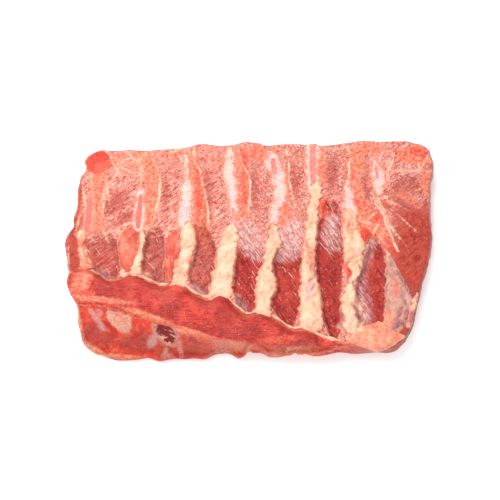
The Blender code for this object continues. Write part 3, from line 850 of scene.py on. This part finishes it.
def strand_material(name, main_colour, tint):
    """Smooth, shiny sinew that drifts between two colours."""
    material, web, shader = new_material(name)
    drift = web.noise(web.place(), 5.0, 2.0)
    finish_material(web, shader, web.mix(web.step(drift, 0.4, 0.6), main_colour, tint), 0.3, drift, 0.2)
    return material


# ---------------------------------------------------------------- pieces on the slab

RIB_ROWS = {
    1: [(41, -131, -126), (30, -132.5, -124.5), (18, -134, -125), (7, -134, -128.5)],
    2: [(49, -90, -86), (42, -92.5, -83.5), (30, -94.5, -83), (18, -95.5, -83), (8, -94.5, -84.5)],
    3: [(80, -55, -52), (72, -54.5, -49), (60, -55, -48), (45, -57, -46), (30, -58.5, -45),
        (18, -60, -46), (8, -57.5, -47.5)],
    4: [(82, -20, -13), (65, -22, -11), (50, -21, -9.5), (30, -17.5, -8.5), (18, -16.5, -10),
        (10, -15.5, -11.5)],
    5: [(79, 13, 23), (70, 11, 26.5), (62, 13.5, 28), (55, 16.5, 29.5), (36, 17, 29.5), (28, 15.5, 26),
        (13, 14, 23)],
    6: [(86, 44.5, 57.5), (70, 44.5, 57.5), (55, 44.5, 56.5), (43, 45.5, 56.5)],
    7: [(57, 78, 82), (45, 74.5, 83.5), (35, 74, 85.5), (22, 73, 88.5), (12, 73, 89)],
    8: [(74, 98, 104), (66, 97.5, 108.5), (55, 97.5, 110), (41, 100, 108)],
}
MARROW = {
    1: [(39, -130, -127), (28, -131.8, -126.6), (18, -132.8, -127.4), (10, -132.8, -129.4)],
    2: [(41, -89, -86.5), (30, -90.8, -86.4), (20, -91.8, -87), (12, -91.2, -88.2)],
    4: [(29, -14.5, -12.5), (25, -15, -12), (21, -14.5, -12.5)],
    5: [(72, 17, 20.5), (66, 16.8, 21.8), (58, 18.5, 22)],
    6: [(84, 48.2, 53.4), (65, 48.2, 53.4), (46, 49, 52.7)],
    8: [(67, 101, 104), (60, 101.5, 104), (56, 102, 104)],
}
RIB_EIGHT_GRISTLE = [(-3, 107, 110.5), (-12, 107.5, 114.5), (-22, 108, 120), (-32, 108, 125),
                     (-45, 107.5, 128),
                     (-55, 106.5, 128), (-66, 105, 124), (-74, 106, 118)]
GRISTLE_CORE = [(-28, 115, 117), (-36, 114, 118.6), (-44, 115, 118)]
FAT_STRIPS = {      # (rows, creases)
    2: ([(12, -88.5, -85), (6, -89.5, -83.5), (-2, -90, -83), (-10, -92.5, -84.5), (-17, -96.5, -86),
         (-22, -105.5, -84), (-29, -107, -84)], [(-92, -21, 20)]),
    3: ([(18, -53, -45.5), (10, -54.5, -42.5), (0, -55.5, -42), (-8, -58, -44.5), (-18, -61.5, -47.5),
         (-28, -66, -48.5), (-38, -66, -50)], [(-50, -5, 20), (-56, -26, -10)]),
    4: ([(17, -16.5, -11), (10, -21.5, -9), (3, -23.5, -8), (-2, -26, -10), (-8, -28, -11),
         (-16, -29, -10.5),
         (-24, -30, -12), (-33, -32, -13), (-42, -35, -14), (-50, -36, -18)],
         [(-16, -1, 20), (-19, -9, -12)]),
    5: ([(18, 16.5, 20.5), (10, 14.5, 23), (4, 13.5, 25), (-3, 12, 25.5), (-9, 10.5, 22), (-16, 9, 18.5),
         (-22, 7.5, 18.5), (-30, 5, 22.5), (-38, 3.8, 22), (-46, 3.2, 19), (-54, 3.5, 18), (-62, 6, 21)],
        [(19, -5, 14), (14, -20, -25)]),
    6: ([(54, 51.5, 59), (45, 47, 59.5), (36, 46.5, 57), (28, 45.5, 56), (20, 44.5, 55.5), (8, 43.5, 54.5),
         (-4, 42, 54), (-14, 40.5, 53), (-24, 40, 53), (-32, 40, 54.5), (-40, 39, 57), (-50, 38.5, 58.5),
         (-60, 37.8, 58.5), (-72, 38, 61)],
         [(51, 30.5, 6), (50, 21, -4), (49, 6.5, 5), (48, -8, -8), (47, -32, 36)]),
    7: ([(30, 75, 84.5), (22, 74, 87.5), (14, 74, 90), (4, 73.5, 92), (-6, 73.5, 91.5), (-14, 76.5, 91.5),
         (-22, 80.5, 89), (-28, 79, 86), (-36, 74.5, 86), (-46, 72, 88), (-58, 72, 91), (-74, 74, 94)],
        [(82, 11, 6), (83, -12, 30), (80, -33, 28)]),
}
SEAMS = [       # (half width, its line as (y, x))
    (0.7, [(66, -128.5), (50, -127.5), (34, -126.5)]),
    (0.9, [(70, -118), (55, -116.5), (42, -118), (28, -122)]),
    (1.3, [(76, -80), (70, -78), (60, -74), (50, -72.5), (40, -73), (25, -76), (14, -79)]),
    (1.2, [(79, -45), (67, -44), (60, -40), (52, -39), (45, -37), (28, -34), (10, -33)]),
    (1.2, [(82, -10), (74, -8), (65, -5), (58, -2), (50, 0), (40, 0), (24, -1.5)]),
    (0.9, [(81, 29.5), (65, 31.5), (55, 31.5), (40, 34), (28, 37)]),
    (0.7, [(60, 46.5), (45, 46), (30, 45.5)]),
    (0.8, [(83, 81), (70, 80.5), (55, 80), (46, 78)]), (0.8, [(84, 118), (76, 117), (64, 113.5)]),
    (1.1, [(36, 100), (28, 106), (18, 109), (8, 113), (-6, 119)]),
    (0.9, [(-17, 89), (-26, 85), (-33, 78.5), (-39, 74)]),
]
# The rim colour below is the fat's painted shade at its border.
SEAM_INSET = 1.4        # added to a seam's distance from its edge, so that a thin one isn't all rim colour
SIDE_MUSCLES = {
    "second": [(14, -100, -91), (6, -105, -88), (-5, -106, -88.5), (-14, -104.5, -91), (-24, -101, -95)],
    "third": [(10, -65, -56), (1, -68.5, -53.5), (-10, -69.5, -55.5), (-21, -69, -58.5), (-34, -67, -61)],
}
RED_LUMPS = {   # rows and lift
    "rear_corner": ([(81, -127, -116), (76, -132, -113), (70, -134, -112), (64, -132, -113),
                     (58, -127, -119)], 1.4),
    "rib_eight": ([(14, 88, 94), (8, 86.5, 98), (1, 89, 95)], 1.8),
    "pocket": ([(-13, 77.5, 80.5), (-19, 75.5, 82.5), (-25, 76, 83), (-30, 76, 80)], 1.4),
    "sixth": ([(36, 56.5, 61), (29, 56, 63.5), (21, 57, 61)], 1.4),
}
CORNER_FAT = [(-61, 100, 106), (-64, 89, 112), (-66.5, 81, 118), (-70, 77, 121), (-74, 75, 123.5),
              (-79, 76, 122.5), (-83, 80, 120), (-86.5, 90, 112)]
LEFT_FAT = [(13, -139, -131.5), (0, -138.5, -131), (-10, -136.5, -129), (-20, -135, -124)]
RIGHT_FAT = [(-38, 131, 135), (-48, 127.5, 133.5), (-58, 125, 130.5), (-68, 121.5, 128)]
FRONT_MUSCLE = [
    (-145.5, -44, -22), (-138, -51, -19.5), (-125, -52, -23), (-112, -55, -29.5), (-104, -57.5, -29.5),
    (-92, -61, -24), (-80, -64, -31), (-66, -68, -34.5), (-55, -71, -33), (-45, -75, -41),
    (-34, -78.5, -45.5),
    (-18, -81, -43), (-12, -82.5, -51), (-3, -84, -59.5), (8, -85.5, -55.5), (18, -87, -60.5),
    (27, -88, -67),
    (38, -87, -69.5), (52, -88, -71.5), (60, -86, -75.5), (70, -84, -78.5), (84, -83.5, -80),
]


def slab_piece(material):
    """The slab itself.

    The top is the quilt on a fine grid at the height of ground() plus its grain. The wall carries the
    rim down through the WALL rows, and the underside draws the last row in to the middle, dimpled by
    up to half a millimetre.
    """
    across, deep, wall_rows, under_rows = 345, 206, 12, 8
    u, v = np.meshgrid(np.linspace(0, 1, across), np.linspace(0, 1, deep))
    x, y = pulled_in(*quilt(u, v), WALL[0][1])
    z = ground(x, y) + surface_grain(x, y)
    top = np.stack([x, y, z], -1).reshape(-1, 3)

    index = np.arange(across * deep).reshape(deep, across)
    rim = np.concatenate([index[0], index[1:, -1], index[-1, -2::-1], index[-2:0:-1, 0]])
    wide_x, wide_y = quilt(u.ravel()[rim], v.ravel()[rim])
    down = np.linspace(0, 1, wall_rows + 1)[1:, None]
    inset = through([(row[0], row[1]) for row in WALL], down)
    share = through([(row[0], row[2]) for row in WALL], down)
    round_way = np.arctan2(wide_y / HALF_DEEP, wide_x / HALF_LONG)[None, :] * 110
    inset = inset + 0.9 * noise(round_way, down * 30, 6.0, 13) * np.sin(down * math.pi)
    wall_x, wall_y = pulled_in(wide_x[None, :], wide_y[None, :], inset)
    wall = np.stack([wall_x, wall_y, share * z.ravel()[rim][None, :] + 0 * wall_x], -1)
    shrink = (1 - np.arange(1, under_rows + 1) / (under_rows + 0.5))[:, None, None]
    under = wall[-1:] * shrink
    under[..., 2] = 0.5 * abs(noise(under[..., 0], under[..., 1], 9.0, 14))
    rings = np.concatenate([wall, under])

    size = len(rim)
    points = np.concatenate([top, rings.reshape(-1, 3), [[0, 0, 0.2]]])
    grid = np.stack([index[:-1, :-1], index[:-1, 1:], index[1:, 1:], index[1:, :-1]], -1).reshape(-1, 4)
    loops = np.concatenate([rim[None, :], len(top) + np.arange(len(rings) * size).reshape(-1, size)])
    after = np.roll(loops, -1, axis=1)
    skirt = np.stack([loops[:-1], loops[1:], after[1:], after[:-1]], -1).reshape(-1, 4)
    fans = np.stack([loops[-1], np.full(size, len(points) - 1), after[-1]], -1)

    down_wall = np.concatenate([np.zeros(len(top)), np.repeat(np.linspace(0.3, 1, wall_rows), size),
                                np.ones(under_rows * size + 1)])
    values = slab_values(points[:, 0], points[:, 1], down_wall)
    quads = np.concatenate([grid, skirt])
    return finish_piece("slab_meat", points, quads, fans, values, material, ["meat"])


def slab_values(x, y, down_wall):
    """What the slab's material reads at each point: depths inside patches, and shares from 0 to 1."""
    return {
        "hollow": inside_any(HOLLOWS, x, y, 0.2) - 20 * down_wall,
        "bareness": 0.7 + 0.3 * smooth(-34, -14, x),
        "veil": 0.85 * smooth(-3, 7, inside_any(SINEW_VEILS, x, y)) * (1 - down_wall),
        "comb": np.clip(smooth(10, -20, x) * smooth(70, 40, y) + 0.25 + 0.5 * smooth(104, 118, x), 0, 1),
        "brown": smooth(-30, 10, x + 10 * noise(x, y, 20, 24)),
        "deep": deepness(x, y),
        "front": frontness(x, y),
        "pit": inside_spot(PIT, x, y),
        "side": down_wall,
    }


def surface_grain(x, y):
    """Fine relief of the cut: ridges along the fibres and small pits, fading out beside the ribs."""
    fibre = x * math.cos(FIBRE_LEAN) + y * math.sin(FIBRE_LEAN)
    cross = y * math.cos(FIBRE_LEAN) - x * math.sin(FIBRE_LEAN)
    ridges = (0.5 * noise(fibre / 4, cross, 1.8, 11) + 0.35 * noise(x, y, 2.6, 12)
              + 0.35 * noise(fibre / 2, cross, 4, 15))
    bone_side = smooth(5, 9, beside_rib(x, y))
    return ridges * (0.3 + 0.7 * bone_side) * (1 - 0.6 * frontness(x, y))


def deepness(x, y):
    """0 on the pink cut, 1 on dark red muscle: the flank's lower half and the left side, and 0.8 along a
    fold in the flank, painted shade there.
    """
    flank = smooth(102, 122, x + 8 * noise(x, y, 14, 21)) * smooth(50, 10, y + 10 * noise(x, y, 12, 22))
    # Painted shade: a dark line along a fold in the flank, which the relief doesn't carry.
    fold = smooth(5, 0, abs(y - through([(104, 38), (124, 22), (150, 12)], x))) * smooth(104, 110, x)
    left = smooth(-133, -140, x + 3 * noise(x, y, 7, 23)) * smooth(64, 50, y)
    return np.maximum.reduce([flank, 0.8 * fold, 0.9 * left])


def frontness(x, y):
    """1 on the front slope and the front muscle's own ground, 0 behind them."""
    return smooth(1, -5, y - through(MUSCLE_REAR_EDGE, x))


def joined_rings(name, parts, material, stands_for=()):
    """One closed-shell piece from several sets of rings that belong together."""
    points, quads, fans, start, gathered = [], [], [], 0, {}
    for rings, values in parts:
        count, size = rings.shape[:2]
        part_quads, part_fans = skin_rings(count, size, start)
        part = np.concatenate([rings.reshape(-1, 3), rings[[0, -1]].mean(1)])
        if volume(part, part_quads - start) < 0:
            part_quads, part_fans = part_quads[:, ::-1], part_fans[:, ::-1]
        points.append(part)
        quads.append(part_quads)
        fans.append(part_fans)
        for label, value in values.items():
            flat = np.concatenate([value.reshape(count * size, *value.shape[2:]), value[[0, -1]].mean(1)])
            gathered.setdefault(label, []).append(flat)
        start += len(part)
    values = {label: np.concatenate(chunks) for label, chunks in gathered.items()}
    return finish_piece(name, np.concatenate(points), np.concatenate(quads), np.concatenate(fans), values,
                        material, stands_for)


def strand_rings(patches, count, length, width, angle, seed):
    """Thin sinew strands over some patches: each a flat oval swept along a slightly bent line."""
    rng = np.random.default_rng(seed)
    rows = [patches[key] for key in sorted(patches)]
    parts = []
    steps = np.linspace(0, 1, 9)[:, None]
    turn = np.linspace(0, 2 * math.pi, 7)[:-1][None, :]
    for _ in range(count):
        patch = rows[rng.integers(len(rows))]
        y0 = rng.uniform(patch[-1][0], patch[0][0])
        left, right = patch_edges(patch, y0)
        x0 = rng.uniform(left, right)
        long, wide = length * rng.uniform(0.3, 1.4), width * rng.uniform(0.4, 1.2)
        lean = angle + rng.uniform(-0.2, 0.2)
        bend = rng.uniform(-0.12, 0.12) * long * np.sin(steps * math.pi)
        x = x0 + (steps - 0.5) * long * math.cos(lean) - bend * math.sin(lean)
        y = y0 + (steps - 0.5) * long * math.sin(lean) + bend * math.cos(lean)
        thick = wide * np.sqrt(np.clip(np.sin(steps * math.pi), 0.02, 1))
        rx = x - thick * np.cos(turn) * math.sin(lean)
        ry = y + thick * np.cos(turn) * math.cos(lean)
        rz = ground(rx, ry) + 0.45 * thick * np.sin(turn) + 0.3
        parts.append((np.stack([rx, ry, rz], -1), {}))
    return parts


def rim_cord():
    """The pale rim behind the front muscle: a cord about 1 mm in radius along the muscle's rear edge."""
    x = np.linspace(-108, 74, 420)[:, None]
    turn = np.linspace(0, 2 * math.pi, 11)[:-1][None, :]
    thick = (1.0 + 0.5 * noise(x, 0, 5, 801)) * np.clip(np.sin((x + 108) / 182 * math.pi) * 8, 0.1, 1)
    y = through(MUSCLE_REAR_EDGE, x) + 0.8 + 0.5 * noise(x, 3, 4, 802)
    ring_y, ring_x = y + thick * 1.3 * np.cos(turn), x + 0 * turn
    z = ground(ring_x, y + 0 * ring_x) + thick * np.sin(turn) + 0.6
    rings = np.stack([ring_x, ring_y, z], -1)
    return rings, {"edge": np.full(z.shape, 2.0), "grain": rings}


def with_core(part, core_rows):
    """Adds how deep each point lies inside the piece's core, where it has one."""
    rings, values = part
    depth = inside(core_rows, rings[..., 0], rings[..., 1]) if core_rows else np.full(rings.shape[:2], -9.0)
    return rings, {**values, "core": depth}


def lay_bones(torn):
    """The eight sawn ribs: low, lumpy ovals with their marrow."""
    bone = bone_material(torn)
    for number, rows in RIB_ROWS.items():
        part = pillow(rows, 0.7, 0.9, 6.0, 100 + 10 * number, ragged=0.8, lumps=0.3, lump_size=3.0,
                      roll=0.7)
        part = with_core(part, MARROW.get(number))
        joined_rings(f"rib_bone_{number}", [part], bone, [f"rib_{number}"])


def lay_fat(torn):
    """The fat strips over ribs 2 to 7, the seams beside the ribs with the front cord, and the ends' fat."""
    fat = fat_material(torn)
    for number, (rows, creases) in FAT_STRIPS.items():
        part = pillow(rows, 0.6, 2.3, 3.0, 200 + 10 * number, ragged=1.3, lumps=1.2, lump_size=6.5,
                      fullness=4.0, roll=0.85, creases=creases)
        joined_rings(f"fat_strip_{number}", [part], fat)
    seams = []
    for index, (half, line) in enumerate(SEAMS):
        rings, values = pillow([(y, x - half, x + half) for y, x in line], 0.6, 0.5, 1.0, 300 + index,
                               ragged=0.55, lumps=0.25, roll=0.8)
        seams.append((rings, {**values, "edge": values["edge"] + SEAM_INSET}))
    joined_rings("seam_fat", seams + [rim_cord()], fat)
    ends = [pillow(rows, 0.7, 1.8, 3.0, seed, ragged=1.2, lumps=0.9, roll=0.8)
            for rows, seed in ((LEFT_FAT, 320), (RIGHT_FAT, 321))]
    joined_rings("edge_fat", ends, fat)


def lay_muscles(grain, torn):
    """The side muscles, the red lumps and the long front muscle, each with its own reds."""
    orange = muscle_material("orange_muscle", grain, torn, ORANGE_MEAT, 5.0, 1.0, 1.6)
    for index, (name, rows) in enumerate(SIDE_MUSCLES.items()):
        part = pillow(rows, 0.7, 2.8, 3.0, 400 + index, ragged=0.9, lumps=0.8, roll=0.7)
        joined_rings(f"side_muscle_{name}", [part], orange)
    bright = muscle_material("bright_muscle", grain, torn, BRIGHT_MEAT, 4.0, 1.2, 2.4)
    lumps = [pillow(rows, 0.7, lift, 2.0, 420 + index, ragged=1.3, lumps=0.8, lump_size=4.0, roll=0.8)
             for index, (rows, lift) in enumerate(RED_LUMPS.values())]
    joined_rings("red_lumps", lumps, bright)
    strip = muscle_material("front_muscle", grain, torn, STRIP_MEAT,
                            layers=("dusky", "orange", "bright", "rind"))
    part = pillow(FRONT_MUSCLE, 0.9, 1.8, 4.0, 500, along_x=True, ragged=1.0, lumps=0.9, lump_size=9.0,
                  fullness=5)
    joined_rings("front_muscle", [part], strip)


def lay_gristle(torn):
    """The peach fat at the front right corner, and the beige gristle on rib 8 with its pink core."""
    peach = gristle_material("corner_fat", *PEACH_GRISTLE, torn)
    cap = pillow(CORNER_FAT, 0.8, 3.2, 3.0, 600, ragged=2.0, lumps=1.5, lump_size=9.0, roll=0.8)
    joined_rings("corner_fat", [with_core(cap, None)], peach)
    beige = gristle_material("rib_eight_gristle", *BEIGE_GRISTLE, torn)
    end = pillow(RIB_EIGHT_GRISTLE, 0.7, 1.6, 3.0, 650, ragged=1.2, lumps=0.8, lump_size=7.0, roll=0.8)
    joined_rings("rib_eight_gristle", [with_core(end, GRISTLE_CORE)], beige)


def lay_strands():
    """Loose sinew over the hollows and the membrane."""
    parts = strand_rings(HOLLOWS, 64, 7.0, 0.2, -STRAND_LEAN, 700)
    parts += strand_rings(SINEW_VEILS, 100, 15.0, 0.22, -STRAND_LEAN, 701)
    joined_rings("sinew_strands", parts, strand_material("sinew", SINEW_PINK, VEIL_WHITE))


def stage_and_light():
    """A white floor, a broad soft lamp behind on the left, a small hard one, a fill lamp and a sky."""
    floor_mesh = bpy.data.meshes.new("floor")
    half = 1.5      # metres
    floor_mesh.from_pydata([(-half, -half, 0), (half, -half, 0), (half, half, 0), (-half, half, 0)], [],
                           [(0, 1, 2, 3)])
    floor = bpy.data.objects.new("floor", floor_mesh)
    material, _, shader = new_material("white_floor")
    shader.inputs["Base Color"].default_value = (0.95, 0.95, 0.95, 1)
    shader.inputs["Roughness"].default_value = 0.9
    floor_mesh.materials.append(material)
    bpy.context.scene.collection.objects.link(floor)

    world = bpy.data.worlds.new("sky")
    world.use_nodes = True
    world.node_tree.nodes["Background"].inputs["Color"].default_value = (1, 1, 1, 1)
    world.node_tree.nodes["Background"].inputs["Strength"].default_value = SKY
    bpy.context.scene.world = world
    for name, where, size, power in LAMPS:
        light = bpy.data.lights.new(name, "AREA")
        light.size = size
        light.energy = power
        lamp = bpy.data.objects.new(name, light)
        lamp.location = where
        away = np.array(where) / np.linalg.norm(where)
        lamp.rotation_euler = (math.acos(away[2]), 0, math.atan2(away[0], -away[1]))
        bpy.context.scene.collection.objects.link(lamp)


def camera():
    """A long lens, 75 degrees above the slab's front, that takes in 400 mm across at the bones' height."""
    elevation, distance, across = math.radians(75), 1.6, 0.400
    aim = np.array([-MIDDLE[0], -4.5 - MIDDLE[1], 30.0]) * MM
    lens = bpy.data.cameras.new("camera")
    lens.lens = lens.sensor_width * distance / across
    eye = bpy.data.objects.new("camera", lens)
    eye.location = aim + distance * np.array([0, -math.cos(elevation), math.sin(elevation)])
    eye.rotation_euler = (math.pi / 2 - elevation, 0, 0)
    bpy.context.scene.collection.objects.link(eye)
    bpy.context.scene.camera = eye


grain, torn = grain_group(), torn_edge_group()
slab_piece(meat_material(grain, torn))
lay_bones(torn)
lay_fat(torn)
lay_muscles(grain, torn)
lay_gristle(torn)
lay_strands()
stage_and_light()
camera()
bpy.context.scene.view_settings.view_transform = "Standard"
